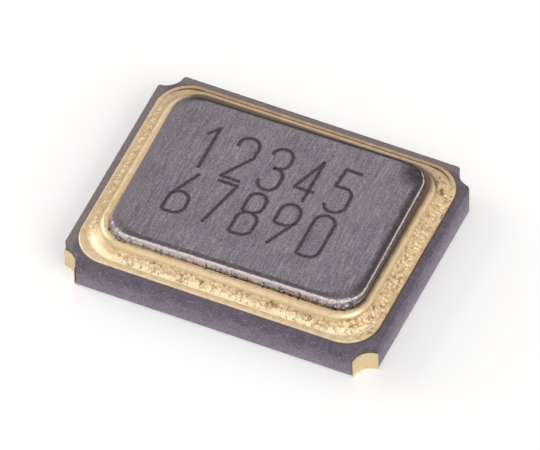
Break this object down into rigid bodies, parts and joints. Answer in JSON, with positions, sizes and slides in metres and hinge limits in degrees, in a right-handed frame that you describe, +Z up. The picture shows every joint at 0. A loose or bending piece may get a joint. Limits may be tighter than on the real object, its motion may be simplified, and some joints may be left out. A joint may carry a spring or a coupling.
{
  "type": "quartz crystal in a surface-mount ceramic package",
  "caption": "Flat rectangular surface-mount quartz crystal: dark ceramic base, gold seal ring and welded grey metal lid, soldered by corner terminals to give a circuit its clock frequency.",
  "frame": {"origin": "middle of the soldering plane, under the middle of the package", "axes": "+X along the long side, +Y along the short side, +Z up out of the lid; terminals 1 to 4 run anticlockwise from above, starting at -X, -Y"},
  "size_m": [0.0032, 0.0024, 0.0005],
  "materials": {
    "alumina": "matte",
    "gold_plate": "satin",
    "gilt_braze": "satin",
    "lid_metal": "satin",
    "quartz": "satin",
    "electrode_film": "satin",
    "silver_glue": "matte",
    "tungsten": "matte",
    "terminal_gold": "satin"
  },
  "bodies": {
    "root": {"ceramic_base": "alumina", "seal_band": "gold_plate", "braze_joint": "gilt_braze", "seal_ring": "gold_plate", "lid": "lid_metal", "quartz_blank": "quartz", "top_electrode": "electrode_film", "bottom_electrode": "electrode_film", "glue_dot_1": "silver_glue", "glue_dot_2": "silver_glue", "mount_pad_1": "gold_plate", "mount_pad_2": "gold_plate", "signal_via_1": "tungsten", "signal_via_3": "tungsten", "ground_via_2": "tungsten", "ground_via_4": "tungsten", "terminal_1": "terminal_gold", "terminal_2": "terminal_gold", "terminal_3": "terminal_gold", "terminal_4": "terminal_gold"}
  },
  "joints": []
}
